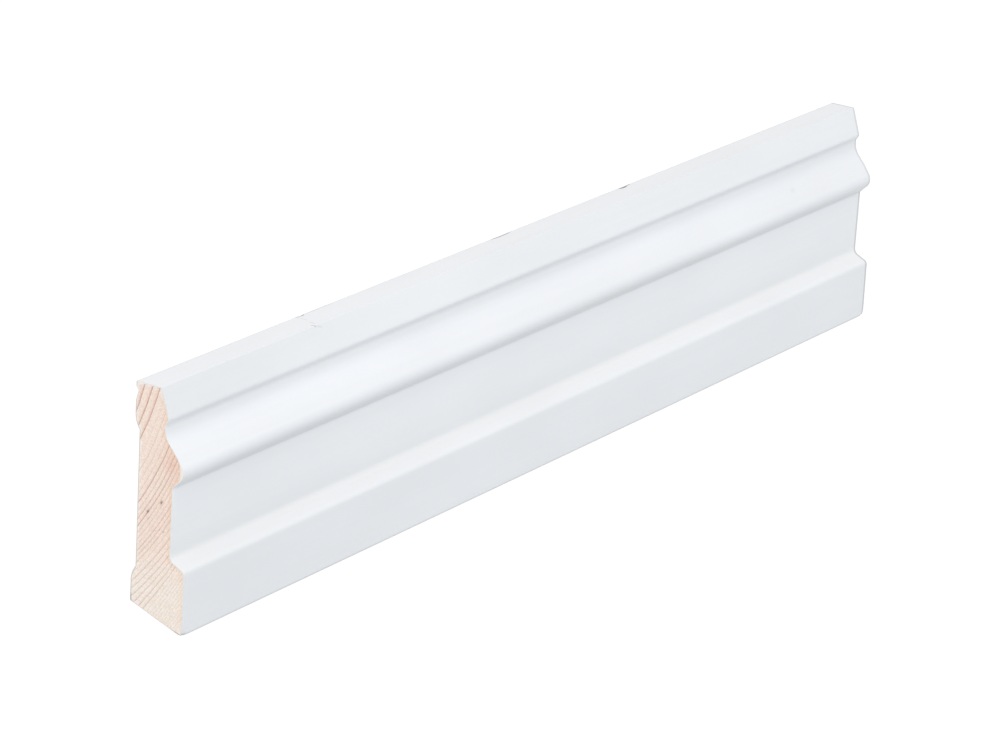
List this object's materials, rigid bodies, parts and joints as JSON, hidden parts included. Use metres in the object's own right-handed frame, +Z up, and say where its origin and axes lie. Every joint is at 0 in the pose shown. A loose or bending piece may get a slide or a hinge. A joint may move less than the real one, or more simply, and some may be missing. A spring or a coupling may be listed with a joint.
{
  "type": "skirting board",
  "caption": "Painted pine skirting board with a moulded face, relieved back and undercut underside, fixed to the wall to cover its joint with the floor.",
  "frame": {"origin": "middle of the lower of the two flat lands on the back that bear on the wall, at mid-length and 7.5 mm above the toe that meets the floor", "axes": "+X along the board, +Y into the wall, -Y out of the moulded face into the room, +Z up"},
  "size_m": [0.31, 0.015, 0.058],
  "materials": {
    "painted_pine": "white satin paint on the moulded face, top and underside; bare sawn pine on both ends and planed pine on the back"
  },
  "bodies": {
    "root": {"skirting_board": "painted_pine"}
  },
  "joints": []
}
